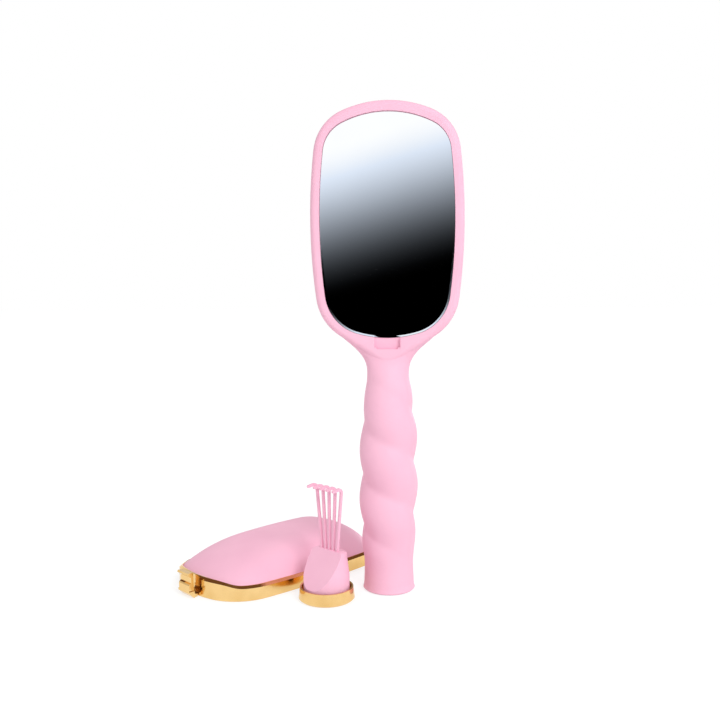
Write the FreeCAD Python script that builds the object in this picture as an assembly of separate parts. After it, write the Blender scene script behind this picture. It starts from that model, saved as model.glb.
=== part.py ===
"""Boar bristle grooming brush with a back mirror, a press-on mirror cover and a cleaning rake.

All sizes are in millimetres. The brush stands on the foot of its handle: +Z is up, the mirror
faces -Y, the bristles face +Y, and the origin is the centre of the handle's open lower end.
"""
import FreeCAD, Part
import math
import os
from FreeCAD import Placement, Rotation, Vector

os.makedirs("parts", exist_ok=True)

# Head: one flat plate with a mirror sunk in the front and a bristle cushion in the back
HEAD_THICK = 15.0
HEAD_EDGE_R = 3.0
HEAD_W = 75.7
HEAD_TOP = 243.8
HEAD_LOW = 125.0
HEAD_WIDEST_UP = 2.1
HEAD_WIDEST = (HEAD_TOP + HEAD_LOW) / 2 + HEAD_WIDEST_UP
# The lower end is nearly a half circle, so its radius follows the width
HEAD_LOW_FLATTER = 0.15
HEAD_EGG = dict(width=HEAD_W, top=HEAD_TOP, bottom=HEAD_LOW, widest=HEAD_WIDEST, side_r=294.0, top_r=56.0,
                top_corner_r=23.5, bottom_r=HEAD_W / 2 + HEAD_LOW_FLATTER, bottom_corner_r=27.0)
SHOULDER_R = 26.0
SHOULDER_Z = 151.5
TONGUE_R = 9.5
TONGUE_END = 116.0

# Mirror: glass glued on a foam backing, below the level of the frame lip
MIRROR_TOP_LIP = 5.3
MIRROR_LOW_LIP = 3.6
MIRROR_EGG = dict(width=66.5, top=HEAD_TOP - MIRROR_TOP_LIP, bottom=HEAD_LOW + MIRROR_LOW_LIP,
                  widest=HEAD_WIDEST, side_r=293.0, top_r=50.0, top_corner_r=16.5, bottom_r=54.0,
                  bottom_corner_r=22.0)
MIRROR_SUNK = 1.8
GLASS_THICK = 2.0
BACKING_THICK = 0.8
GLASS_GAP = 0.15

# Latch pocket in the lower frame lip, with a rib in each lower corner that nips the latch's ears
POCKET_W = 12.8
POCKET_LOW = 123.2
POCKET_DEEP = 2.2
POCKET_CORNER_R = 0.6
RIB_OUT = 1.15
RIB_LONG = 0.9
RIB_DOWN = 0.3
RIB_ROOT = 0.5

# Bristle side: tray, rubber cushion, clamping bezel and tufts
CUSHION_W = 63.5
CUSHION_TOP_LIP = 6.0
CUSHION_LOW_LIP = 6.5
CUSHION_LOW_FLATTER = 1.25
CUSHION_EGG = dict(width=CUSHION_W, top=HEAD_TOP - CUSHION_TOP_LIP, bottom=HEAD_LOW + CUSHION_LOW_LIP,
                   widest=HEAD_WIDEST, side_r=288.0, top_r=49.6, top_corner_r=17.0,
                   bottom_r=CUSHION_W / 2 + CUSHION_LOW_FLATTER, bottom_corner_r=22.0)
CUSHION_SUNK = 4.6
TRAY_THICK = 1.6
CUSHION_RIM = 1.4
CUSHION_WALL = 1.5
CUSHION_HIGH = 7.0
BEZEL_W = 4.0
BEZEL_THICK = 1.5
TUFT_PITCH = 7.6
TUFT_ROWS = 13
TUFT_COLS = 7
TUFT_LONG = 13.0
TUFT_ROOT_R = 1.0
TUFT_TIP_R = 1.7
TUFT_EDGE = 0.83
TUFT_FAN = 0.011
TUFT_SUNK = 0.5
TUFT_LEAST_RISE = 0.6
SCREW_R = 1.1
SCREW_HEAD_R = 2.1
SCREW_HEAD_TALL = 1.0
SCREW_BITE = 2.0
SCREW_SPARE = 0.2
SCREW_APART = 36.0
SCREW_FROM_LOW = 24.5
SCREW_FROM_TOP = 19.8

# Handle: a two-start rope twist, round at the foot, that thins to a neck and spreads into the head
# Each station is height, largest radius, lobe offset, depth over width, squareness (2 is round)
HANDLE_STATIONS = [
    (0.0, 13.3, 0.0, 1.0, 2.0), (5.0, 12.8, 0.0, 1.0, 2.0), (10.0, 12.5, 0.05, 1.0, 2.0),
    (16.0, 12.6, 0.35, 1.0, 2.0), (24.0, 13.5, 1.2, 1.0, 2.0), (34.0, 14.3, 2.0, 1.0, 2.0),
    (50.0, 14.9, 2.3, 1.0, 2.0), (72.0, 14.7, 2.3, 1.0, 2.0), (84.0, 14.2, 2.1, 1.0, 2.0),
    (94.0, 12.9, 1.4, 1.0, 2.0), (102.0, 11.7, 0.8, 1.0, 2.0), (108.0, 10.6, 0.15, 1.0, 2.0),
    (112.0, 10.35, 0.0, 0.9, 2.0), (116.0, 11.0, 0.0, 0.66, 2.1), (119.0, 12.5, 0.0, 0.575, 2.3),
    (122.0, 14.8, 0.0, 0.485, 2.5), (124.0, 16.9, 0.0, 0.425, 2.7), (128.0, 22.0, 0.0, 0.325, 3.0),
    (136.0, 29.4, 0.0, 0.242, 3.2)]
TWIST_LEAD = 52.6
TWIST_CREASE_Z = 63.0
TWIST_END = 109.0
TWIST_LEAN = 0.1
# The control net of the handle's surface: points round each row, and the height between rows
NET_AROUND = 20
NET_STEP = 4.0
FOOT_EDGE = 0.7

# Socket in the handle for the rake: a straight mouth, a taper and a deep well for the tines
SOCKET_R = 11.5
SOCKET_LONG = 6.0
TAPER_END = 17.0
WELL_R = 10.3
WELL_DEEP = 60.0

# Mirror cover, lying dome up on the floor
COVER_EGG = dict(width=65.3, top=237.7, bottom=129.0, widest=187.7, side_r=400.0,
                 top_r=70.0, top_corner_r=15.0, bottom_r=50.0, bottom_corner_r=24.0)
COVER_AT = (-62.0, 25.1)
COVER_ANGLE = 47.9
BAND_TALL = 7.6
BAND_HIGH = 10.4
SWEEP_START = 129.0
SWEEP_END = 142.0
BAND_WALL = 1.7
BAND_EDGE = 0.4
BAND_BEVEL = 1.2
DOME_INSET = 1.9
DOME_HIGH = 13.5
DOME_CROWN = 206.0
DOME_WALL = 1.8
DOME_POWER = 3.6
DOME_STEPS = (1.0, 0.97, 0.92, 0.84, 0.72, 0.56, 0.38, 0.2, 0.07)
DOME_ROUND = dict(side_r=130.0, top_r=37.0, top_corner_r=26.0, bottom_r=37.0, bottom_corner_r=26.0)
DOME_ROUND_SHARE = 0.6
CLIP_RING_TALL = 4.0
CLIP_RING_WALL = 1.4

# Latch on the cover's neck end
NOTCH_W = 11.0
NOTCH_LOW = 1.9
NOTCH_DEEP = 1.0
LATCH_W = 9.0
FLANGE_W = 10.4
FLANGE_TALL = 3.4
# Outward distance and height of the latch profile, from the web round the finger lip and back
LATCH_PROFILE = [
    (0.3, 0.0), (2.9, 0.0), (5.3, 2.4), (5.3, 6.4), (4.9, 7.1), (3.9, 7.5), (3.9, 10.3), (5.0, 10.9),
    (6.2, 12.0), (5.8, 12.9), (2.6, 12.6), (2.4, 2.4), (1.6, 1.5), (0.3, 1.5)]

# Cleaning rake, standing on its cap beside the brush
RAKE_AT = (-30.4, -17.3)
RAKE_TURN = -39.0
CAP_FOOT_R = 14.0
CAP_RIM_R = 13.3
CAP_TALL = 6.2
CAP_WALL = 0.9
CAP_FLOOR = 1.8
PLUG_R = 11.4
PLUG_TAPER_Z = 12.0
PLUG_TOP_R = 9.9
PLUG_TOP_Z = 24.3
PLUG_EDGE_R = 2.0
FACET_TOP = 1.0
FACET_FOOT = 11.0
FACET_FOOT_Z = 6.8
RIDGE_W = 3.0
RIDGE_DROP = 2.4
TINE_W = 1.05
TINE_THICK = 1.4
TINE_NAMES = ["tine_far_left", "tine_left", "tine_middle", "tine_right", "tine_far_right"]
TINE_PITCH = 2.6
TINE_FAN = 3.1
TINE_BACK = 1.4
TINE_DEEP = 5.0
TINE_STRAIGHT = 29.7
TINE_BEND_R = 2.2
TINE_BEND = 97.0
TINE_TIP = 3.3
FOOT_PAD_R = 10.0
FOOT_PAD_THICK = 0.8


def crossing(centre_a, radius_a, centre_b, radius_b, upper):
    """Upper or lower crossing point of two circles in the XY plane."""
    gap = centre_b - centre_a
    along = (radius_a ** 2 - radius_b ** 2 + gap.Length ** 2) / (2 * gap.Length)
    up = math.sqrt(radius_a ** 2 - along ** 2)
    unit = Vector(gap).normalize()
    foot = centre_a + unit * along
    side = Vector(-unit.y, unit.x, 0) * up
    pick = max if upper else min
    return pick(foot + side, foot - side, key=lambda point: point.y)


def toward(centre, target, radius):
    """Point at a radius from a centre, in the direction of a target."""
    return centre + Vector(target - centre).normalize() * radius


def egg_points(egg, grow):
    """Right half of an egg outline: joints and arc middles from the crown down to the side's end."""
    side_c = Vector(egg["width"] / 2 - egg["side_r"], egg["widest"], 0)
    top_c = Vector(0, egg["top"] - egg["top_r"], 0)
    low_c = Vector(0, egg["bottom"] + egg["bottom_r"], 0)
    top_corner = crossing(side_c, egg["side_r"] - egg["top_corner_r"],
                          top_c, egg["top_r"] - egg["top_corner_r"], True)
    low_corner = crossing(side_c, egg["side_r"] - egg["bottom_corner_r"],
                          low_c, egg["bottom_r"] - egg["bottom_corner_r"], False)
    top_join = toward(top_c, top_corner, egg["top_r"] + grow)
    side_top = toward(side_c, top_corner, egg["side_r"] + grow)
    side_low = toward(side_c, low_corner, egg["side_r"] + grow)
    low_join = toward(low_c, low_corner, egg["bottom_r"] + grow)
    return {
        "crown": Vector(0, egg["top"] + grow, 0),
        "top_join": top_join,
        "top_mid": toward(top_corner, (top_join + side_top) * 0.5, egg["top_corner_r"] + grow),
        "side_top": side_top,
        "side_mid": toward(side_c, (side_top + side_low) * 0.5, egg["side_r"] + grow),
        "side_low": side_low,
        "low_mid": toward(low_corner, (side_low + low_join) * 0.5, egg["bottom_corner_r"] + grow),
        "low_join": low_join,
        "heel": Vector(0, egg["bottom"] - grow, 0),
        "side_centre": side_c,
    }


def flip(point):
    """Mirror image of a point across the long axis."""
    return Vector(-point.x, point.y, point.z)


def arc(start, middle, end):
    return Part.Arc(start, middle, end).toShape()


def egg_wire(egg, grow=0.0):
    """Closed outline of eight tangent arcs, grown outward by a distance."""
    p = egg_points(egg, grow)
    edges = [
        arc(flip(p["top_join"]), p["crown"], p["top_join"]),
        arc(p["top_join"], p["top_mid"], p["side_top"]),
        arc(p["side_top"], p["side_mid"], p["side_low"]),
        arc(p["side_low"], p["low_mid"], p["low_join"]),
        arc(p["low_join"], p["heel"], flip(p["low_join"])),
        arc(flip(p["low_join"]), flip(p["low_mid"]), flip(p["side_low"])),
        arc(flip(p["side_low"]), flip(p["side_mid"]), flip(p["side_top"])),
        arc(flip(p["side_top"]), flip(p["top_mid"]), flip(p["top_join"])),
    ]
    return Part.Wire(edges)


def egg_plate(egg, grow, low, high):
    """Flat plate with an egg outline between two heights."""
    plate = Part.Face(egg_wire(egg, grow)).extrude(Vector(0, 0, high - low))
    plate.translate(Vector(0, 0, low))
    return plate


def egg_dome(egg, grow, base, high, crown):
    """Pillow-shaped solid: outlines that shrink, round off and rise to a crown on the long axis."""
    centre = Vector(0, crown, 0)
    profiles = []
    for size in DOME_STEPS:
        share = DOME_ROUND_SHARE * (1 - size)
        level = {name: value + (DOME_ROUND.get(name, value) - value) * share for name, value in egg.items()}
        wire = egg_wire(level, grow)
        wire.scale(size, centre)
        wire.translate(Vector(0, 0, base + high * (1 - size ** DOME_POWER)))
        profiles.append(wire)
    profiles.append(Part.Vertex(centre + Vector(0, 0, base + high)))
    return Part.makeLoft(profiles, True, False)


def inside_egg(egg, x, y, share):
    """True when a point lies in the outline shrunk to a share of its size."""
    middle = (egg["top"] + egg["bottom"]) / 2
    half_long = (egg["top"] - egg["bottom"]) / 2 * share
    half_wide = egg["width"] / 2 * share
    return abs(x / half_wide) ** 2.6 + abs((y - middle) / half_long) ** 2.6 < 1


def curve_through(stations, column, z):
    """Smooth value of one station column at a height: cubic pieces with matched slopes."""
    heights = [row[0] for row in stations]
    values = [row[column] for row in stations]
    last = len(stations) - 1
    slopes = []
    for i in range(last + 1):
        before = max(i - 1, 0)
        after = min(i + 1, last)
        slopes.append((values[after] - values[before]) / (heights[after] - heights[before]))
    i = 0
    while i < last - 1 and z > heights[i + 1]:
        i += 1
    span = heights[i + 1] - heights[i]
    t = (z - heights[i]) / span
    start = (1 + 2 * t) * (1 - t) ** 2 * values[i] + t * (1 - t) ** 2 * span * slopes[i]
    end = t ** 2 * (3 - 2 * t) * values[i + 1] + t ** 2 * (t - 1) * span * slopes[i + 1]
    return start + end


def handle_turn(z):
    """Turn of the handle's creases at a height."""
    return -2 * math.pi * (min(z, TWIST_END) - TWIST_CREASE_Z) / TWIST_LEAD


def net_point(z, turn):
    """Control point of the handle's surface, at a height and a turn from the crease line."""
    reach, lobe, depth, square = (curve_through(HANDLE_STATIONS, column, z) for column in (1, 2, 3, 4))
    angle = turn + handle_turn(z)
    corner = (abs(math.cos(angle)) ** square + abs(math.sin(angle)) ** square) ** (-1 / square)
    radius = (reach - lobe * (1 - abs(math.sin(turn)))) * corner
    # A cubic surface runs inside its control net, the more so the larger the turn between points
    twist_step = (handle_turn(z + NET_STEP) - handle_turn(max(z - NET_STEP, 0))) / 2
    for step in (2 * math.pi / NET_AROUND, twist_step):
        radius /= (2 + math.cos(step)) / 3
    x = radius * math.cos(angle)
    return Vector(x, depth * radius * math.sin(angle), z + TWIST_LEAN * x * lobe)


def handle_solid():
    """Foot, twisted grip and spreading neck: one smooth surface on a spiral net, bevelled below."""
    rows = round(HANDLE_STATIONS[-1][0] / NET_STEP) + 1
    turns = [2 * math.pi * k / NET_AROUND for k in range(NET_AROUND)]
    net = [[net_point(NET_STEP * row, turn) for row in range(rows)] for turn in turns]
    surface = Part.BSplineSurface()
    surface.buildFromPolesMultsKnots(
        net, [1] * (NET_AROUND + 1), [4] + [1] * (rows - 4) + [4],
        list(range(NET_AROUND + 1)), list(range(rows - 2)), True, False, 3, 3)
    side = surface.toShape()
    ends = [Part.Face(Part.Wire([edge])) for edge in side.Edges if edge.BoundBox.ZLength < 1e-6]
    skin = Part.Shell([side] + ends)
    skin.sewShape()
    grip = Part.Solid(skin)
    foot_r = HANDLE_STATIONS[0][1]
    bevel = turned([(foot_r - FOOT_EDGE - 1, -1), (foot_r + 1, -1), (foot_r + 1, FOOT_EDGE + 1)])
    return grip.cut(bevel)


def outer_tangent(centre_a, radius_a, centre_b, radius_b):
    """Unit normal of the lower right line that touches two circles from outside."""
    gap = centre_a - centre_b
    lean = math.acos((radius_b - radius_a) / gap.Length)
    angle = math.atan2(gap.y, gap.x) - lean
    return Vector(math.cos(angle), math.sin(angle), 0)


def head_wire():
    """Head outline: egg above, drawn in by straight shoulders to a rounded tongue on the neck."""
    p = egg_points(HEAD_EGG, 0.0)
    side_c = p["side_centre"]
    radius = HEAD_EGG["side_r"]
    rise = SHOULDER_Z - side_c.y
    shoulder_c = Vector(side_c.x + math.sqrt((radius - SHOULDER_R) ** 2 - rise ** 2), SHOULDER_Z, 0)
    tongue_c = Vector(0, TONGUE_END + TONGUE_R, 0)
    out = outer_tangent(shoulder_c, SHOULDER_R, tongue_c, TONGUE_R)
    side_end = toward(side_c, shoulder_c, radius)
    side_mid = toward(side_c, (p["side_top"] + side_end) * 0.5, radius)
    line_top = shoulder_c + out * SHOULDER_R
    line_low = tongue_c + out * TONGUE_R
    shoulder_mid = toward(shoulder_c, (side_end + line_top) * 0.5, SHOULDER_R)
    return Part.Wire([
        arc(flip(p["top_join"]), p["crown"], p["top_join"]),
        arc(p["top_join"], p["top_mid"], p["side_top"]),
        arc(p["side_top"], side_mid, side_end),
        arc(side_end, shoulder_mid, line_top),
        Part.makeLine(line_top, line_low),
        arc(line_low, Vector(0, TONGUE_END, 0), flip(line_low)),
        Part.makeLine(flip(line_low), flip(line_top)),
        arc(flip(line_top), flip(shoulder_mid), flip(side_end)),
        arc(flip(side_end), flip(side_mid), flip(p["side_top"])),
        arc(flip(p["side_top"]), flip(p["top_mid"]), flip(p["top_join"])),
    ])


def level_edges(solid, height):
    """Edges of a solid that lie flat at one height."""
    box = lambda edge: edge.BoundBox
    return [e for e in solid.Edges if abs(box(e).ZMin - height) < 1e-4 and abs(box(e).ZMax - height) < 1e-4]


def stand_up(shape):
    """Turn a shape drawn flat, front up, so that it stands with its front toward -Y."""
    shape.Placement = Placement(Vector(0, 0, 0), Rotation(Vector(1, 0, 0), 90)) * shape.Placement
    return shape


def lay_cover(shape):
    """Move a shape drawn on the head's axis to the cover's place on the floor."""
    middle = (COVER_EGG["top"] + COVER_EGG["bottom"]) / 2
    shape.translate(Vector(0, -middle, 0))
    shape.rotate(Vector(0, 0, 0), Vector(0, 0, 1), COVER_ANGLE - 90)
    shape.translate(Vector(COVER_AT[0], COVER_AT[1], 0))
    return shape


def place_rake(shape):
    """Turn a rake piece and move it to its place beside the brush."""
    shape.rotate(Vector(0, 0, 0), Vector(0, 0, 1), RAKE_TURN)
    shape.translate(Vector(RAKE_AT[0], RAKE_AT[1], 0))
    return shape


def turned(profile):
    """Solid of revolution about Z from radius and height points."""
    points = [Vector(r, 0, z) for r, z in profile]
    face = Part.Face(Part.makePolygon(points + [points[0]]))
    return face.revolve(Vector(0, 0, 0), Vector(0, 0, 1), 360)


def save(node, shape):
    shape.exportStep("parts/" + node + ".step")


# Brush body
front = HEAD_THICK / 2
plate = Part.Face(head_wire()).extrude(Vector(0, 0, HEAD_THICK))
plate.translate(Vector(0, 0, -front))
plate = plate.makeFillet(HEAD_EDGE_R, level_edges(plate, front) + level_edges(plate, -front))
mirror_floor = front - MIRROR_SUNK - GLASS_THICK - BACKING_THICK
cushion_floor = -front + CUSHION_SUNK
pocket = Part.makeBox(POCKET_W, MIRROR_EGG["bottom"] - POCKET_LOW + 2, POCKET_DEEP + 1,
                      Vector(-POCKET_W / 2, POCKET_LOW, front - POCKET_DEEP))
pocket = pocket.makeFillet(POCKET_CORNER_R, [e for e in pocket.Edges if e.BoundBox.ZLength > POCKET_DEEP])
ribs = [Part.makeBox(RIB_OUT + RIB_ROOT, RIB_LONG + RIB_ROOT, POCKET_DEEP - RIB_DOWN + RIB_ROOT,
                     Vector(x, POCKET_LOW - RIB_ROOT, front - POCKET_DEEP - RIB_ROOT))
        for x in (-POCKET_W / 2 - RIB_ROOT, POCKET_W / 2 - RIB_OUT)]
screw_spots = [(side * SCREW_APART / 2, y)
               for y in (CUSHION_EGG["bottom"] + SCREW_FROM_LOW, CUSHION_EGG["top"] - SCREW_FROM_TOP)
               for side in (-1, 1)]
screw_holes = [Part.makeCylinder(SCREW_R, SCREW_BITE + SCREW_SPARE, Vector(x, y, cushion_floor - 0.01))
               for x, y in screw_spots]

hollows = [egg_plate(MIRROR_EGG, 0.0, mirror_floor, front + 1),
           egg_plate(CUSHION_EGG, 0.0, -front - 1, cushion_floor), pocket] + screw_holes
socket = Part.makeCylinder(SOCKET_R, SOCKET_LONG + 1, Vector(0, 0, -1))
taper = Part.makeCone(SOCKET_R, WELL_R, TAPER_END - SOCKET_LONG, Vector(0, 0, SOCKET_LONG))
well = Part.makeCylinder(WELL_R, WELL_DEEP, Vector(0, 0, 0))
brush_body = stand_up(plate).fuse(handle_solid())
brush_body = brush_body.cut([stand_up(hollow) for hollow in hollows] + [socket, taper, well])
brush_body = brush_body.fuse([stand_up(rib) for rib in ribs]).removeSplitter()
save("brush_body", brush_body)

# Mirror
glass_low = mirror_floor + BACKING_THICK
save("mirror_glass", stand_up(egg_plate(MIRROR_EGG, -GLASS_GAP, glass_low, glass_low + GLASS_THICK)))
save("mirror_backing", stand_up(egg_plate(MIRROR_EGG, -1.5, mirror_floor, glass_low)))

# Bristle cushion: tray and screws under a hollow rubber pad, clamped by the bezel
tray_out = cushion_floor - TRAY_THICK
rim_out = tray_out - CUSHION_RIM
tray = egg_plate(CUSHION_EGG, -0.2, tray_out, cushion_floor)
screws = []
for x, y in screw_spots:
    shank = Part.makeCylinder(SCREW_R, TRAY_THICK + SCREW_BITE, Vector(x, y, tray_out))
    head = Part.makeCylinder(SCREW_HEAD_R, SCREW_HEAD_TALL, Vector(x, y, tray_out - SCREW_HEAD_TALL))
    tray = tray.cut(shank)
    screws.append(shank.fuse(head).removeSplitter())
save("cushion_tray", stand_up(tray))
save("tray_screws", stand_up(Part.makeCompound(screws)))


def cushion_dome(grow, base, high):
    """Dome that swells toward the back of the head."""
    dome = egg_dome(CUSHION_EGG, grow, 0, high, (CUSHION_EGG["top"] + CUSHION_EGG["bottom"]) / 2)
    dome.rotate(Vector(0, 0, 0), Vector(0, 1, 0), 180)
    dome.translate(Vector(0, 0, base))
    return dome


pad = egg_plate(CUSHION_EGG, -0.2, rim_out, tray_out).fuse(
    cushion_dome(-BEZEL_W - 0.3, rim_out, CUSHION_HIGH))
pad = pad.cut(cushion_dome(-BEZEL_W - 0.3 - CUSHION_WALL, tray_out,
                           CUSHION_HIGH - CUSHION_WALL + CUSHION_RIM))
save("cushion_pad", stand_up(pad.removeSplitter()))

bezel = egg_plate(CUSHION_EGG, -0.1, rim_out - BEZEL_THICK, rim_out).cut(
    egg_plate(CUSHION_EGG, -BEZEL_W, rim_out - BEZEL_THICK - 1, rim_out + 1))
save("bristle_bezel", stand_up(bezel))


def tuft(x, y, middle):
    """One knot of bristle: a six-sided bundle that widens from its root and fans outward."""
    rings = []
    rise = CUSHION_HIGH * (1 - max(abs(x) / (CUSHION_EGG["width"] / 2 - BEZEL_W),
                                   abs(y - middle) / (CUSHION_EGG["top"] - middle - BEZEL_W)) ** DOME_POWER)
    root = rim_out - max(rise, TUFT_LEAST_RISE) + TUFT_SUNK
    for radius, out in ((TUFT_ROOT_R, 0.0), (TUFT_TIP_R, TUFT_LONG)):
        cx = x * (1 + TUFT_FAN * out)
        cy = y + (y - middle) * TUFT_FAN * out
        corners = [Vector(cx + radius * math.cos(math.pi * k / 3), cy + radius * math.sin(math.pi * k / 3),
                          root - out) for k in range(6)]
        rings.append(Part.makePolygon(corners + [corners[0]]))
    return Part.makeLoft(rings, True, True)


tufts = []
tuft_middle = (CUSHION_EGG["top"] + CUSHION_EGG["bottom"]) / 2
for row in range(TUFT_ROWS):
    shift = TUFT_PITCH / 2 if row % 2 else 0.0
    y = tuft_middle + (row - (TUFT_ROWS - 1) / 2) * TUFT_PITCH
    for col in range(TUFT_COLS + 1):
        x = (col - (TUFT_COLS - 1) / 2) * TUFT_PITCH - shift
        if inside_egg(CUSHION_EGG, x, y, TUFT_EDGE):
            tufts.append(tuft(x, y, tuft_middle))
save("boar_tufts", stand_up(Part.makeCompound(tufts)))

# Cover: gold band, pink dome, and the ring that clips them together
def above_band():
    """Block above the band's top edge, which is level along the sides and sweeps up at the latch end."""
    side = -COVER_EGG["width"]
    past = 20.0
    far = COVER_EGG["top"] + past
    near = COVER_EGG["bottom"] - past
    lid = BAND_HIGH + past
    corners = [Vector(side, y, z) for y, z in (
        (SWEEP_END, BAND_TALL), (far, BAND_TALL), (far, lid), (near, lid), (near, BAND_HIGH),
        (SWEEP_START, BAND_HIGH))]
    middle = (SWEEP_START + SWEEP_END) / 2
    sweep = Part.BezierCurve()
    sweep.setPoles([corners[-1], Vector(side, middle, BAND_HIGH),
                    Vector(side, middle, BAND_TALL), corners[0]])
    outline = Part.Wire([Part.makeLine(*pair) for pair in zip(corners, corners[1:])] + [sweep.toShape()])
    return Part.Face(outline).extrude(Vector(-2 * side, 0, 0))


band = egg_plate(COVER_EGG, 0.0, 0, BAND_HIGH + 1)
band = band.makeChamfer(BAND_EDGE, level_edges(band, 0)).cut(above_band())
band = band.makeChamfer(BAND_BEVEL, [edge for edge in band.Edges if edge.BoundBox.ZMin > BAND_TALL - 0.1])
band = band.cut(egg_plate(COVER_EGG, -BAND_WALL, -1, BAND_HIGH + 1))
latch_y = COVER_EGG["bottom"]
notch = Part.makeBox(NOTCH_W, NOTCH_DEEP + 2, BAND_HIGH, Vector(-NOTCH_W / 2, latch_y - 2, NOTCH_LOW))
save("cover_band", lay_cover(band.cut(notch)))

shell = egg_dome(COVER_EGG, -DOME_INSET, BAND_TALL, DOME_HIGH, DOME_CROWN).cut(
    egg_dome(COVER_EGG, -DOME_INSET - DOME_WALL, BAND_TALL - 0.05, DOME_HIGH - DOME_WALL, DOME_CROWN))
save("cover_shell", lay_cover(shell))

ring = egg_plate(COVER_EGG, -BAND_WALL, BAND_TALL - CLIP_RING_TALL, BAND_TALL).cut(
    egg_plate(COVER_EGG, -BAND_WALL - CLIP_RING_WALL, 0, BAND_TALL + 1))
save("clip_ring", lay_cover(ring))


def latch_slice(points, width):
    """Slab of the latch profile, standing off the band at the cover's neck end."""
    corners = [Vector(-width / 2, latch_y - out, z) for out, z in points]
    return Part.Face(Part.makePolygon(corners + [corners[0]])).extrude(Vector(width, 0, 0))


flange = [(2.4, 0.0), (2.9, 0.0), (5.3, 2.4), (5.3, FLANGE_TALL), (2.4, FLANGE_TALL)]
latch = latch_slice(LATCH_PROFILE, LATCH_W).fuse(latch_slice(flange, FLANGE_W)).removeSplitter()
save("latch_tab", lay_cover(latch))

# Rake: hooked tines in a plug, on a gold cap that closes the handle
def tine(place):
    """One hooked tine: a flat bar with a quarter bend and a round-nosed tip, leaned out from the middle."""
    low = PLUG_TOP_Z - TINE_DEEP
    bend_z = PLUG_TOP_Z + TINE_STRAIGHT
    inner = TINE_BEND_R - TINE_THICK / 2
    outer = TINE_BEND_R + TINE_THICK / 2

    def bent(radius, degrees, onward=0.0):
        """Point on the hook at a radius from the bend's centre, carried on along the tip."""
        angle = math.radians(degrees)
        y = radius * math.cos(angle) - TINE_BEND_R - onward * math.sin(angle)
        return Vector(-TINE_W / 2, y, bend_z + radius * math.sin(angle) + onward * math.cos(angle))

    outside = [Vector(-TINE_W / 2, TINE_THICK / 2, low), bent(outer, 0)]
    inside = [bent(inner, 0), Vector(-TINE_W / 2, -TINE_THICK / 2, low)]
    tip_out = bent(outer, TINE_BEND, TINE_TIP)
    tip_in = bent(inner, TINE_BEND, TINE_TIP)
    side = Part.Wire([
        Part.makeLine(*outside),
        arc(bent(outer, 0), bent(outer, TINE_BEND / 2), bent(outer, TINE_BEND)),
        Part.makeLine(bent(outer, TINE_BEND), tip_out),
        arc(tip_out, bent(TINE_BEND_R, TINE_BEND, TINE_TIP + TINE_THICK / 2), tip_in),
        Part.makeLine(tip_in, bent(inner, TINE_BEND)),
        arc(bent(inner, TINE_BEND), bent(inner, TINE_BEND / 2), bent(inner, 0)),
        Part.makeLine(*inside),
        Part.makeLine(inside[1], outside[0])])
    solid = Part.Face(side).extrude(Vector(TINE_W, 0, 0))
    solid.rotate(Vector(0, 0, PLUG_TOP_Z), Vector(0, 1, 0), TINE_FAN * place)
    solid.translate(Vector(TINE_PITCH * place, FACET_TOP + TINE_BACK, 0))
    return solid


middle_tine = (len(TINE_NAMES) - 1) / 2
tines = [tine(index - middle_tine) for index in range(len(TINE_NAMES))]

plug = turned([(0, CAP_FLOOR), (PLUG_R - 0.3, CAP_FLOOR), (PLUG_R, CAP_FLOOR + 1), (PLUG_R, PLUG_TAPER_Z),
               (PLUG_TOP_R, PLUG_TOP_Z), (0, PLUG_TOP_Z)])
plug = plug.makeFillet(PLUG_EDGE_R, level_edges(plug, PLUG_TOP_Z))
past = 2 * PLUG_R
above = PLUG_TOP_Z + past
facet = [(FACET_TOP, PLUG_TOP_Z), (-FACET_FOOT, FACET_FOOT_Z), (-FACET_FOOT - past, FACET_FOOT_Z),
         (-FACET_FOOT - past, above), (FACET_TOP, above)]
slope = [(FACET_TOP + RIDGE_W, PLUG_TOP_Z), (PLUG_R, PLUG_TOP_Z - RIDGE_DROP), (PLUG_R, above),
         (FACET_TOP + RIDGE_W, above)]
for outline in (facet, slope):
    corners = [Vector(-past, y, z) for y, z in outline]
    plug = plug.cut(Part.Face(Part.makePolygon(corners + [corners[0]])).extrude(Vector(2 * past, 0, 0)))
screw = Part.makeCylinder(1.5, 9.0, Vector(0, 0, FOOT_PAD_THICK + 0.3)).fuse(
    Part.makeCone(2.8, 1.5, 1.3, Vector(0, 0, FOOT_PAD_THICK + 0.1)))
cap = turned([(0, 0), (CAP_FOOT_R - 0.8, 0), (CAP_FOOT_R, 0.8), (CAP_FOOT_R - 0.15, 1.8),
              (CAP_RIM_R, CAP_TALL), (CAP_RIM_R - CAP_WALL, CAP_TALL), (CAP_RIM_R - CAP_WALL, CAP_FLOOR),
              (0, CAP_FLOOR)])
pad_seat = Part.makeCylinder(FOOT_PAD_R + 0.1, FOOT_PAD_THICK, Vector(0, 0, 0))
save("rake_plug", place_rake(plug.cut(tines + [screw])))
save("foot_cap", place_rake(cap.cut([pad_seat, screw])))
save("cap_screw", place_rake(screw))
save("foot_pad", place_rake(Part.makeCylinder(FOOT_PAD_R, FOOT_PAD_THICK, Vector(0, 0, 0))))
for name, solid in zip(TINE_NAMES, tines):
    save(name, place_rake(solid))
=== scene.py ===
"""Dressed scene of the boar bristle brush: finishes, bristles, cushion, mirror and studio.

Everything is in metres in the CAD frame: the brush stands on the origin and its mirror faces -Y.
"""
import bpy
import bmesh
import math
import random
from mathutils import Euler, Matrix, Vector


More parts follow.
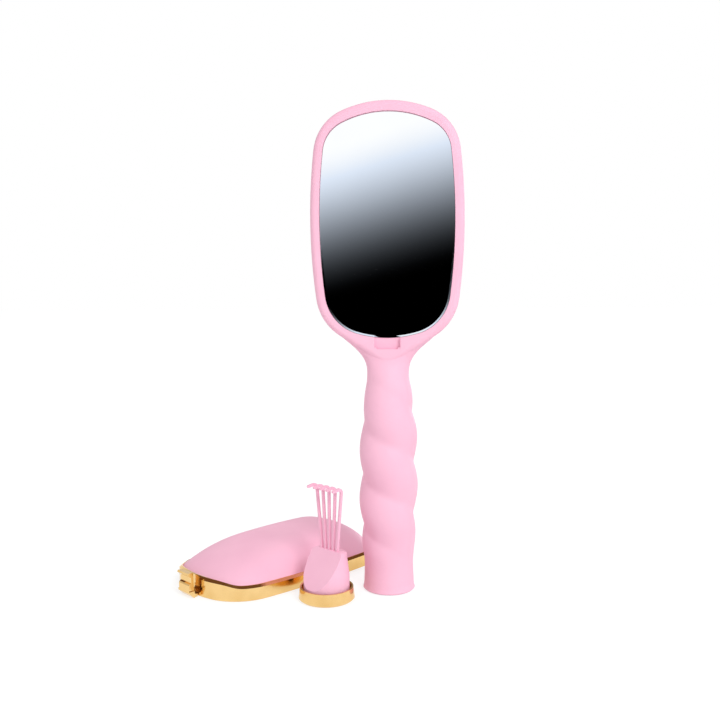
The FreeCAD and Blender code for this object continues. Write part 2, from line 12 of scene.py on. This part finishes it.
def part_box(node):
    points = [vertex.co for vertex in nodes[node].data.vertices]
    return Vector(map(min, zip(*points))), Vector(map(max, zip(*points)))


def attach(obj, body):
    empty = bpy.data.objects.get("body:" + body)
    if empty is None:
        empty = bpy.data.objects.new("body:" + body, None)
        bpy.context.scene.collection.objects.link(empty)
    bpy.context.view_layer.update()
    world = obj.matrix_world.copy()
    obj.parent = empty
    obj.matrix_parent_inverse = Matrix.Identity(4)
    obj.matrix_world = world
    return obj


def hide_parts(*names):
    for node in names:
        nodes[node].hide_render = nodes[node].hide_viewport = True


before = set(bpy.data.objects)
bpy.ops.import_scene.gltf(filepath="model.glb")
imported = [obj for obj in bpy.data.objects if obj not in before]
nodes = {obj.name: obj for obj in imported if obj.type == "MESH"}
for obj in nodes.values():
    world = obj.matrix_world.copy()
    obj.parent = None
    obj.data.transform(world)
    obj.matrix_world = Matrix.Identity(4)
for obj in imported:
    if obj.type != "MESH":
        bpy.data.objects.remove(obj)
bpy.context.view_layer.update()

MM = 0.001

# Camera, at the photograph's viewpoint
CAMERA_AT = (0.01548, -0.43495, 0.15831)
CAMERA_PITCH = 5.392
CAMERA_YAW = 4.0
CAMERA_ROLL = -0.45
CAMERA_LENS = 43.5
CAMERA_SENSOR = 36.0
CAMERA_SHIFT = 0.0023
CAMERA_NEAR = 0.01

# Lamps, room and floor
KEY_AT = (1.03, -1.51, 1.32)
KEY_POWER = 20.0
FILL_AT = (1.07, 1.87, 0.45)
FILL_POWER = 7.0
LAMP_AIM = (-0.03, 0.0, 0.12)
LAMP_SIZE = 0.8
SOFT_LIGHT = 0.79
FLOOR_SIZE = 8.0
FLOOR_BELOW = 0.2 * MM
FLOOR_GLOW = 0.715
FLOOR_SHADOW = 0.36
FLOOR_BOUNCE = 0.85

# Card that the mirror shows: it fades from black up to white, inside a border that fades into the room
CARD_AWAY = 0.6
CARD_X = (-0.16, 0.12)
CARD_Z = (0.06, 0.45)
CARD_BORDER = 0.34
CARD_TOP = 0.6
CARD_BLACK = 0.151
CARD_WHITE = 0.338
CARD_TILT = 0.29
CARD_CONTRAST = 1.8
CARD_BLUE_SHARE = 0.8
CARD_POWER = 1.14

# Surround that darkens upward, for the dark line in the gold
FLAG_R = 1.4
FLAG_TOP_R = 0.3
FLAG_LOW = 0.2
FLAG_DARK = 0.55
FLAG_HIGH = 1.8
FLAG_SIDES = 24

# Colours, as linear values
PINK_DEEP = (0.91, 0.495, 0.642, 1)
PINK_LIGHT = (0.94, 0.525, 0.670, 1)
GOLD_DEEP = (0.79, 0.505, 0.185, 1)
GOLD_LIGHT = (0.90, 0.625, 0.275, 1)
SILVER_DEEP = (0.855, 0.87, 0.885, 1)
SILVER_LIGHT = (0.875, 0.89, 0.905, 1)
RUBBER_DEEP = (0.80, 0.52, 0.59, 1)
RUBBER_LIGHT = (0.88, 0.62, 0.68, 1)
BRISTLE_ROOT = (0.012, 0.007, 0.005, 1)
BRISTLE_TIP = (0.16, 0.085, 0.045, 1)
STEEL_DEEP = (0.42, 0.42, 0.44, 1)
STEEL_LIGHT = (0.62, 0.62, 0.64, 1)
FOAM_DEEP = (0.015, 0.015, 0.016, 1)
FOAM_LIGHT = (0.04, 0.04, 0.042, 1)
TRAY_DEEP = (0.72, 0.70, 0.68, 1)
TRAY_LIGHT = (0.80, 0.78, 0.76, 1)
PAD_DEEP = (0.03, 0.03, 0.032, 1)
PAD_LIGHT = (0.07, 0.07, 0.074, 1)
CARD_BLUE = (0.73, 0.80, 0.91, 1)
FLAG_COLOUR = (0.16, 0.085, 0.05, 1)
BLACK = (0, 0, 0, 1)
WHITE = (1, 1, 1, 1)

# Finishes: parts of a noise's range that are spread out, and how much finer roughness drifts than colour
NOISE_DETAIL = 3.0
TINT_RANGE = (0.35, 0.65)
ROUGH_RANGE = (0.3, 0.7)
ROUGH_FINER = 3.1

# CAD meshes
SAME_POINT = 0.001 * MM
REAL_EDGE_ANGLE = 28.0

# Bristles
BRISTLES_PER_TUFT = 46
BRISTLE_R = 0.11 * MM
BRISTLE_TAPER = 0.45
BRISTLE_SIDES = 3
BRISTLE_STEPS = 4
BRISTLE_LENGTHS = (0.93, 1.03)
BRISTLE_BOW = 0.35 * MM
BRISTLE_SHADES = 0.25
BRISTLE_TINT_RANGE = (0.25, 1.0)
BRISTLE_GRAIN = 900.0
BRISTLE_ROUGH = (0.3, 0.5)
GOLDEN_TURN = 2.399963
TUFT_ROOT_R = 0.9 * MM
TUFT_TIP_R = 1.8 * MM
TUFT_FLARE = (0.8, 1.25)
TUFT_SEED = 11
END_TOL = 0.05 * MM

# Cushion
CUSHION_VOXEL = 0.9 * MM
CUSHION_SETTLE = 0.5
CUSHION_SETTLE_TIMES = 4
DIMPLE_R = 2.6 * MM
DIMPLE_DEEP = 0.55 * MM

# Mirror: low down, the edge of the glass turns up in a narrow bead that stops at the latch pocket
FRONT_TOL = 0.01 * MM
BEAD_W = 0.8 * MM
BEAD_RISE = 0.14 * MM
BEAD_FULL_Z = 150 * MM
BEAD_NONE_Z = 172 * MM
POCKET_HALF = 6.4 * MM


def new_material(name):
    """Empty node material and its principled shader."""
    material = bpy.data.materials.new(name)
    material.use_nodes = True
    return material, material.node_tree, material.node_tree.nodes["Principled BSDF"]


def noise(tree, scale):
    """Noise value in the piece's own coordinates, with a scale in cycles per metre."""
    where = tree.nodes.new("ShaderNodeTexCoord")
    texture = tree.nodes.new("ShaderNodeTexNoise")
    texture.inputs["Scale"].default_value = scale
    texture.inputs["Detail"].default_value = NOISE_DETAIL
    tree.links.new(where.outputs["Object"], texture.inputs["Vector"])
    return texture.outputs["Fac"]


def attribute(tree, name):
    """Value of one of the mesh's own point attributes."""
    node = tree.nodes.new("ShaderNodeAttribute")
    node.attribute_name = name
    return node.outputs["Fac"]


def combine(tree, operation, first, second):
    """Sum or maximum of two values."""
    node = tree.nodes.new("ShaderNodeMath")
    node.operation = operation
    tree.links.new(first, node.inputs[0])
    tree.links.new(second, node.inputs[1])
    return node.outputs[0]


def ramp(tree, value, low, high, reach=TINT_RANGE):
    """Colour that goes from low to high as a value goes through the reach."""
    node = tree.nodes.new("ShaderNodeValToRGB")
    for element, place, colour in zip(node.color_ramp.elements, reach, (low, high)):
        element.position = place
        element.color = colour
    tree.links.new(value, node.inputs["Fac"])
    return node.outputs["Color"]


def spread(tree, value, low, high):
    """Number that goes from low to high over the middle of a noise value."""
    node = tree.nodes.new("ShaderNodeMapRange")
    node.inputs["From Min"].default_value = ROUGH_RANGE[0]
    node.inputs["From Max"].default_value = ROUGH_RANGE[1]
    node.inputs["To Min"].default_value = low
    node.inputs["To Max"].default_value = high
    tree.links.new(value, node.inputs["Value"])
    return node.outputs["Result"]


def soft_step(tree, value, start, end):
    """Number that goes smoothly from nought to one as a value goes from start to end."""
    node = tree.nodes.new("ShaderNodeMapRange")
    node.interpolation_type = "SMOOTHSTEP"
    node.inputs["From Min"].default_value = start
    node.inputs["From Max"].default_value = end
    tree.links.new(value, node.inputs["Value"])
    return node.outputs["Result"]


def grain(tree, shader, scale, height, strength):
    """Fine surface relief: a noise of the given scale and height in metres."""
    bump = tree.nodes.new("ShaderNodeBump")
    bump.inputs["Strength"].default_value = strength
    bump.inputs["Distance"].default_value = height
    tree.links.new(noise(tree, scale), bump.inputs["Height"])
    tree.links.new(bump.outputs["Normal"], shader.inputs["Normal"])


def surface(name, deep, light, patch, rough, metallic=0.0, specular=0.5, relief=None):
    """Finish whose colour and roughness drift in soft patches, with an optional fine relief."""
    material, tree, shader = new_material(name)
    tree.links.new(ramp(tree, noise(tree, patch), deep, light), shader.inputs["Base Color"])
    drift = noise(tree, patch * ROUGH_FINER)
    tree.links.new(spread(tree, drift, *rough), shader.inputs["Roughness"])
    shader.inputs["Metallic"].default_value = metallic
    shader.inputs["Specular IOR Level"].default_value = specular
    if relief:
        grain(tree, shader, *relief)
    return material


def bristle_material():
    """Boar bristle: dark at the root, brown at the tip, each hair with its own shade."""
    material, tree, shader = new_material("boar_bristle")
    total = combine(tree, "ADD", attribute(tree, "along"), attribute(tree, "shade"))
    tint = ramp(tree, total, BRISTLE_ROOT, BRISTLE_TIP, BRISTLE_TINT_RANGE)
    tree.links.new(tint, shader.inputs["Base Color"])
    rough = spread(tree, noise(tree, BRISTLE_GRAIN), *BRISTLE_ROUGH)
    tree.links.new(rough, shader.inputs["Roughness"])
    return material


def smooth_cad(node):
    """Smooth shading for a CAD node: joined facets, split again at its real edges."""
    for polygon in node.data.polygons:
        polygon.use_smooth = True
    weld = node.modifiers.new("joined_facets", "WELD")
    weld.merge_threshold = SAME_POINT
    split = node.modifiers.new("real_edges", "EDGE_SPLIT")
    split.split_angle = math.radians(REAL_EDGE_ANGLE)


def dress(material, *names):
    """Give CAD nodes one finish."""
    for name in names:
        node = nodes[name]
        node.data.materials.clear()
        node.data.materials.append(material)
        smooth_cad(node)


def add_piece(name, mesh, material, body, smooth=True):
    """Link a new mesh piece that rides on a CAD body."""
    piece = bpy.data.objects.new(name, mesh)
    bpy.context.scene.collection.objects.link(piece)
    mesh.materials.append(material)
    for polygon in mesh.polygons:
        polygon.use_smooth = smooth
    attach(piece, body)
    return piece


def tuft_ends():
    """Root and tip centres of the CAD tufts, one pair for each separate bundle."""
    bm = bmesh.new()
    bm.from_mesh(nodes["boar_tufts"].data)
    bmesh.ops.remove_doubles(bm, verts=bm.verts, dist=SAME_POINT)
    found = set()
    ends = []
    for first in bm.verts:
        if first in found:
            continue
        found.add(first)
        front = [first]
        bundle = [first]
        while front:
            vertex = front.pop()
            for edge in vertex.link_edges:
                other = edge.other_vert(vertex)
                if other not in found:
                    found.add(other)
                    front.append(other)
                    bundle.append(other)
        heights = [vertex.co.y for vertex in bundle]
        pair = []
        for level in (min(heights), max(heights)):
            ring = [vertex.co for vertex in bundle if abs(vertex.co.y - level) < END_TOL]
            pair.append(sum(ring, Vector()) / len(ring))
        ends.append(tuple(pair))
    bm.free()
    return sorted(ends, key=lambda pair: (round(pair[0].z, 4), pair[0].x))


def add_hair(vertices, faces, start, end, bow):
    """Add one fine tapered hair, which bows to one side between its ends."""
    first = len(vertices)
    for step in range(BRISTLE_STEPS):
        t = step / (BRISTLE_STEPS - 1)
        middle = start.lerp(end, t) + bow * math.sin(math.pi * t)
        radius = BRISTLE_R * (1 - BRISTLE_TAPER * t)
        for corner in range(BRISTLE_SIDES):
            angle = 2 * math.pi * corner / BRISTLE_SIDES
            vertices.append(middle + Vector((math.cos(angle), 0, math.sin(angle))) * radius)
    for step in range(BRISTLE_STEPS - 1):
        ring = first + step * BRISTLE_SIDES
        above = ring + BRISTLE_SIDES
        for corner in range(BRISTLE_SIDES):
            after = (corner + 1) % BRISTLE_SIDES
            faces.append((ring + corner, ring + after, above + after, above + corner))
    top = first + (BRISTLE_STEPS - 1) * BRISTLE_SIDES
    faces.append(tuple(top + corner for corner in range(BRISTLE_SIDES)))


def bristle_mesh(ends):
    """Loose bundles of fine tapered hairs, one bundle for each tuft."""
    chance = random.Random(TUFT_SEED)
    vertices = []
    faces = []
    along = []
    shade = []
    for root, tip in ends:
        for hair in range(BRISTLES_PER_TUFT):
            turn = hair * GOLDEN_TURN
            reach = math.sqrt((hair + 0.5) / BRISTLES_PER_TUFT)
            side = Vector((math.cos(turn), 0, math.sin(turn))) * reach
            length = chance.uniform(*BRISTLE_LENGTHS)
            start = root + side * TUFT_ROOT_R
            end = root.lerp(tip, length) + side * TUFT_TIP_R * chance.uniform(*TUFT_FLARE)
            bow = Vector((chance.uniform(-1, 1), 0, chance.uniform(-1, 1))) * BRISTLE_BOW
            tint = chance.uniform(-BRISTLE_SHADES, BRISTLE_SHADES)
            add_hair(vertices, faces, start, end, bow)
            for step in range(BRISTLE_STEPS):
                along += [step / (BRISTLE_STEPS - 1)] * BRISTLE_SIDES
                shade += [tint] * BRISTLE_SIDES
    mesh = bpy.data.meshes.new("boar_bristles")
    mesh.from_pydata(vertices, [], faces)
    mesh.attributes.new("along", "FLOAT", "POINT").data.foreach_set("value", along)
    mesh.attributes.new("shade", "FLOAT", "POINT").data.foreach_set("value", shade)
    return mesh


def cushion_mesh(ends):
    """Rubber cushion: the CAD crown drawn fine, with a dimple where each tuft is pulled in."""
    source = bpy.data.objects.new("cushion_source", nodes["cushion_pad"].data.copy())
    bpy.context.scene.collection.objects.link(source)
    remesh = source.modifiers.new("even", "REMESH")
    remesh.mode = "VOXEL"
    remesh.voxel_size = CUSHION_VOXEL
    settle = source.modifiers.new("settle", "SMOOTH")
    settle.factor = CUSHION_SETTLE
    settle.iterations = CUSHION_SETTLE_TIMES
    bpy.context.view_layer.update()
    view = bpy.context.evaluated_depsgraph_get()
    mesh = bpy.data.meshes.new_from_object(source.evaluated_get(view))
    bpy.data.objects.remove(source)
    for vertex in mesh.vertices:
        near = min(math.hypot(vertex.co.x - root.x, vertex.co.z - root.z) for root, tip in ends)
        if near < DIMPLE_R:
            vertex.co.y -= DIMPLE_DEEP * (0.5 + 0.5 * math.cos(math.pi * near / DIMPLE_R))
    mesh.materials.clear()
    return mesh


def mirror_outline():
    """Front outline of the CAD glass, in order round its middle."""
    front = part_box("mirror_glass")[0].y
    found = {}
    for vertex in nodes["mirror_glass"].data.vertices:
        if vertex.co.y < front + FRONT_TOL:
            place = (round(vertex.co.x, 6), round(vertex.co.z, 6))
            found[place] = Vector((vertex.co.x, front, vertex.co.z))
    middle = sum(found.values(), Vector()) / len(found)
    return sorted(found.values(), key=lambda point: math.atan2(point.z - middle.z, point.x - middle.x))


def mirror_mesh():
    """Silvered glass with its low edge turned up in a bead, apart from the width of the latch pocket."""
    outline = mirror_outline()
    count = len(outline)
    back_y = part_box("mirror_glass")[1].y
    bm = bmesh.new()
    inner = []
    rim = []
    back = []
    for i, point in enumerate(outline):
        run = outline[(i + 1) % count] - outline[i - 1]
        inward = Vector((-run.z, 0, run.x)).normalized()
        share = (BEAD_NONE_Z - point.z) / (BEAD_NONE_Z - BEAD_FULL_Z)
        rise = BEAD_RISE * min(max(share, 0.0), 1.0)
        if abs(point.x) < POCKET_HALF:
            rise = 0.0
        inner.append(bm.verts.new(point + inward * BEAD_W))
        rim.append(bm.verts.new(point - Vector((0, rise, 0))))
        back.append(bm.verts.new(Vector((point.x, back_y, point.z))))
    bm.faces.new(inner)
    bm.faces.new(list(reversed(back)))
    for i in range(count):
        after = (i + 1) % count
        bm.faces.new((inner[i], rim[i], rim[after], inner[after]))
        bm.faces.new((rim[i], back[i], back[after], rim[after]))
    bmesh.ops.recalc_face_normals(bm, faces=bm.faces)
    mesh = bpy.data.meshes.new("mirror_face")
    bm.to_mesh(mesh)
    bm.free()
    return mesh


def ray_is_seen(tree):
    """One for rays from the camera, mirrors and clear things, and nought for the rest."""
    path = tree.nodes.new("ShaderNodeLightPath")
    seen = combine(tree, "MAXIMUM", path.outputs["Is Camera Ray"], path.outputs["Is Glossy Ray"])
    return combine(tree, "MAXIMUM", seen, path.outputs["Is Transmission Ray"])


def stage_mesh(name, points, faces):
    """Stage object, which is not part of the brush."""
    mesh = bpy.data.meshes.new(name)
    mesh.from_pydata([Vector(point) for point in points], [], faces)
    thing = bpy.data.objects.new(name, mesh)
    bpy.context.scene.collection.objects.link(thing)
    return thing


def matt(tree, level):
    """Matt grey of the given level."""
    node = tree.nodes.new("ShaderNodeBsdfDiffuse")
    node.inputs["Color"].default_value = (level, level, level, 1)
    return node.outputs[0]


def add_floor():
    """White floor that keeps a faint shadow and bounces light back up."""
    half = FLOOR_SIZE / 2
    corners = ((-half, -half), (half, -half), (half, half), (-half, half))
    floor = stage_mesh("floor", [(x, y, -FLOOR_BELOW) for x, y in corners], [(0, 1, 2, 3)])
    material, tree, shader = new_material("floor_white")
    tree.nodes.remove(shader)
    glow = tree.nodes.new("ShaderNodeEmission")
    glow.inputs["Strength"].default_value = FLOOR_GLOW
    seen = tree.nodes.new("ShaderNodeAddShader")
    tree.links.new(matt(tree, FLOOR_SHADOW), seen.inputs[0])
    tree.links.new(glow.outputs[0], seen.inputs[1])
    mix = tree.nodes.new("ShaderNodeMixShader")
    tree.links.new(ray_is_seen(tree), mix.inputs["Fac"])
    tree.links.new(matt(tree, FLOOR_BOUNCE), mix.inputs[1])
    tree.links.new(seen.outputs[0], mix.inputs[2])
    tree.links.new(mix.outputs[0], tree.nodes["Material Output"].inputs["Surface"])
    floor.data.materials.append(material)


def reflected_only(card, inside, along, start, end, contrast, stops, power):
    """Make a card that only reflections see, with colours that fade from start to end along it.

    A corner's inside value is one where the card shows its colours, and nought where it is white.
    """
    card.visible_camera = False
    card.visible_diffuse = False
    card.visible_shadow = False
    card.data.attributes.new("inside", "FLOAT", "POINT").data.foreach_set("value", inside)
    material, tree, shader = new_material(card.name)
    tree.nodes.remove(shader)
    where = tree.nodes.new("ShaderNodeTexCoord")
    reach = tree.nodes.new("ShaderNodeVectorMath")
    reach.operation = "DOT_PRODUCT"
    reach.inputs[1].default_value = along
    tree.links.new(where.outputs["Object"], reach.inputs[0])
    curve = tree.nodes.new("ShaderNodeMath")
    curve.operation = "POWER"
    curve.inputs[1].default_value = contrast
    tree.links.new(soft_step(tree, reach.outputs["Value"], start, end), curve.inputs[0])
    colours = tree.nodes.new("ShaderNodeValToRGB")
    bands = colours.color_ramp.elements
    bands[0].color = stops[0][1]
    bands[1].color = stops[-1][1]
    for place, colour in stops[1:-1]:
        bands.new(place).color = colour
    tree.links.new(curve.outputs[0], colours.inputs["Fac"])
    blend = tree.nodes.new("ShaderNodeMixRGB")
    blend.inputs["Color1"].default_value = (1 / power, 1 / power, 1 / power, 1)
    tree.links.new(soft_step(tree, attribute(tree, "inside"), 0, 1), blend.inputs["Fac"])
    tree.links.new(colours.outputs["Color"], blend.inputs["Color2"])
    glow = tree.nodes.new("ShaderNodeEmission")
    glow.inputs["Strength"].default_value = power
    tree.links.new(blend.outputs["Color"], glow.inputs["Color"])
    tree.links.new(glow.outputs[0], tree.nodes["Material Output"].inputs["Surface"])
    card.data.materials.append(material)


def add_mirror_card():
    """Soft-edged card behind the camera, which gives the mirror its fade."""
    left, right = CARD_X
    low, high = CARD_Z
    corners = [(left, low), (right, low), (right, high), (left, high)]
    left -= CARD_BORDER
    right += CARD_BORDER
    corners += [(left, 0), (right, 0), (right, CARD_TOP), (left, CARD_TOP)]
    faces = [(0, 1, 2, 3)]
    for corner in range(4):
        after = (corner + 1) % 4
        faces.append((corner, after, 4 + after, 4 + corner))
    card = stage_mesh("mirror_card", [(x, -CARD_AWAY, z) for x, z in corners], faces)
    stops = ((0, BLACK), (CARD_BLUE_SHARE, CARD_BLUE), (1, WHITE))
    reflected_only(card, [1.0] * 4 + [0.0] * 4, (-CARD_TILT, 0, 1), CARD_BLACK, CARD_WHITE,
                   CARD_CONTRAST, stops, CARD_POWER)


def add_dark_surround():
    """Cone round the stage that darkens upward, for contrast in the gold."""
    points = []
    faces = []
    for side in range(FLAG_SIDES):
        turn = 2 * math.pi * side / FLAG_SIDES
        for radius, height in ((FLAG_R, FLAG_LOW), (FLAG_TOP_R, FLAG_HIGH)):
            points.append((radius * math.cos(turn), radius * math.sin(turn), height))
        after = (side + 1) % FLAG_SIDES
        faces.append((2 * side, 2 * after, 2 * after + 1, 2 * side + 1))
    flag = stage_mesh("dark_surround", points, faces)
    stops = ((0, WHITE), (1, FLAG_COLOUR))
    reflected_only(flag, [1.0] * len(points), (0, 0, 1), FLAG_LOW, FLAG_DARK, 1.0, stops, 1.0)


def add_lights():
    """Soft key from the front right, a weak fill from behind and an even white room."""
    for name, place, power in (("key", KEY_AT, KEY_POWER), ("fill", FILL_AT, FILL_POWER)):
        lamp = bpy.data.lights.new(name, "AREA")
        lamp.energy = power
        lamp.size = LAMP_SIZE
        light = bpy.data.objects.new(name, lamp)
        light.location = place
        light.rotation_euler = (Vector(LAMP_AIM) - Vector(place)).to_track_quat("-Z", "Y").to_euler()
        bpy.context.scene.collection.objects.link(light)
    world = bpy.data.worlds.new("room")
    world.use_nodes = True
    tree = world.node_tree
    room = tree.nodes["Background"]
    room.inputs["Color"].default_value = WHITE
    level = tree.nodes.new("ShaderNodeMapRange")
    level.inputs["To Min"].default_value = SOFT_LIGHT
    level.inputs["To Max"].default_value = 1.0
    tree.links.new(ray_is_seen(tree), level.inputs["Value"])
    tree.links.new(level.outputs["Result"], room.inputs["Strength"])
    bpy.context.scene.world = world


def add_camera():
    """Camera at the photograph's viewpoint, turned by its yaw, pitch and roll."""
    lens = bpy.data.cameras.new("camera")
    lens.lens = CAMERA_LENS
    lens.sensor_width = CAMERA_SENSOR
    lens.shift_x = CAMERA_SHIFT
    lens.clip_start = CAMERA_NEAR
    camera = bpy.data.objects.new("camera", lens)
    aim = Euler((math.radians(90 - CAMERA_PITCH), 0, math.radians(CAMERA_YAW))).to_matrix()
    roll = Matrix.Rotation(math.radians(CAMERA_ROLL), 3, "Z")
    camera.rotation_euler = (aim @ roll).to_euler()
    camera.location = CAMERA_AT
    bpy.context.scene.collection.objects.link(camera)
    bpy.context.scene.camera = camera


# Finishes: patch is in cycles per metre, and relief is its cycles per metre, height and strength
pink = surface("pink_satin", PINK_DEEP, PINK_LIGHT, patch=45, rough=(0.5, 0.6), specular=0.22,
               relief=(2600, 0.02 * MM, 0.12))
gold = surface("plated_gold", GOLD_DEEP, GOLD_LIGHT, patch=60, rough=(0.09, 0.17), metallic=1.0,
               relief=(140, 0.05 * MM, 0.06))
silver = surface("silvered_glass", SILVER_DEEP, SILVER_LIGHT, patch=30, rough=(0.005, 0.02), metallic=1.0)
rubber = surface("cushion_rubber", RUBBER_DEEP, RUBBER_LIGHT, patch=60, rough=(0.5, 0.65),
                 relief=(1800, 0.05 * MM, 0.2))
steel = surface("screw_steel", STEEL_DEEP, STEEL_LIGHT, patch=400, rough=(0.25, 0.4), metallic=1.0)
foam = surface("foam_tape", FOAM_DEEP, FOAM_LIGHT, patch=900, rough=(0.7, 0.9),
               relief=(3500, 0.1 * MM, 0.4))
tray = surface("tray_plastic", TRAY_DEEP, TRAY_LIGHT, patch=80, rough=(0.4, 0.55),
               relief=(2200, 0.03 * MM, 0.15))
grip = surface("foot_rubber", PAD_DEEP, PAD_LIGHT, patch=500, rough=(0.6, 0.8),
               relief=(2500, 0.08 * MM, 0.3))
bristle = bristle_material()

dress(pink, "brush_body", "bristle_bezel", "cover_shell", "clip_ring", "rake_plug", "tine_far_left",
      "tine_left", "tine_middle", "tine_right", "tine_far_right")
dress(gold, "cover_band", "latch_tab", "foot_cap")
dress(foam, "mirror_backing")
dress(tray, "cushion_tray")
dress(steel, "tray_screws", "cap_screw")
dress(grip, "foot_pad")

# New pieces
ends = tuft_ends()
bristles = add_piece("boar_bristles", bristle_mesh(ends), bristle, "brush")
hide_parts("boar_tufts")
cushion = add_piece("rubber_cushion", cushion_mesh(ends), rubber, "brush")
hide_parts("cushion_pad")
mirror = add_piece("mirror_face", mirror_mesh(), silver, "brush", smooth=False)
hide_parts("mirror_glass")

# Studio and camera
add_floor()
add_mirror_card()
add_dark_surround()
add_lights()
add_camera()
bpy.context.scene.view_settings.view_transform = "Standard"
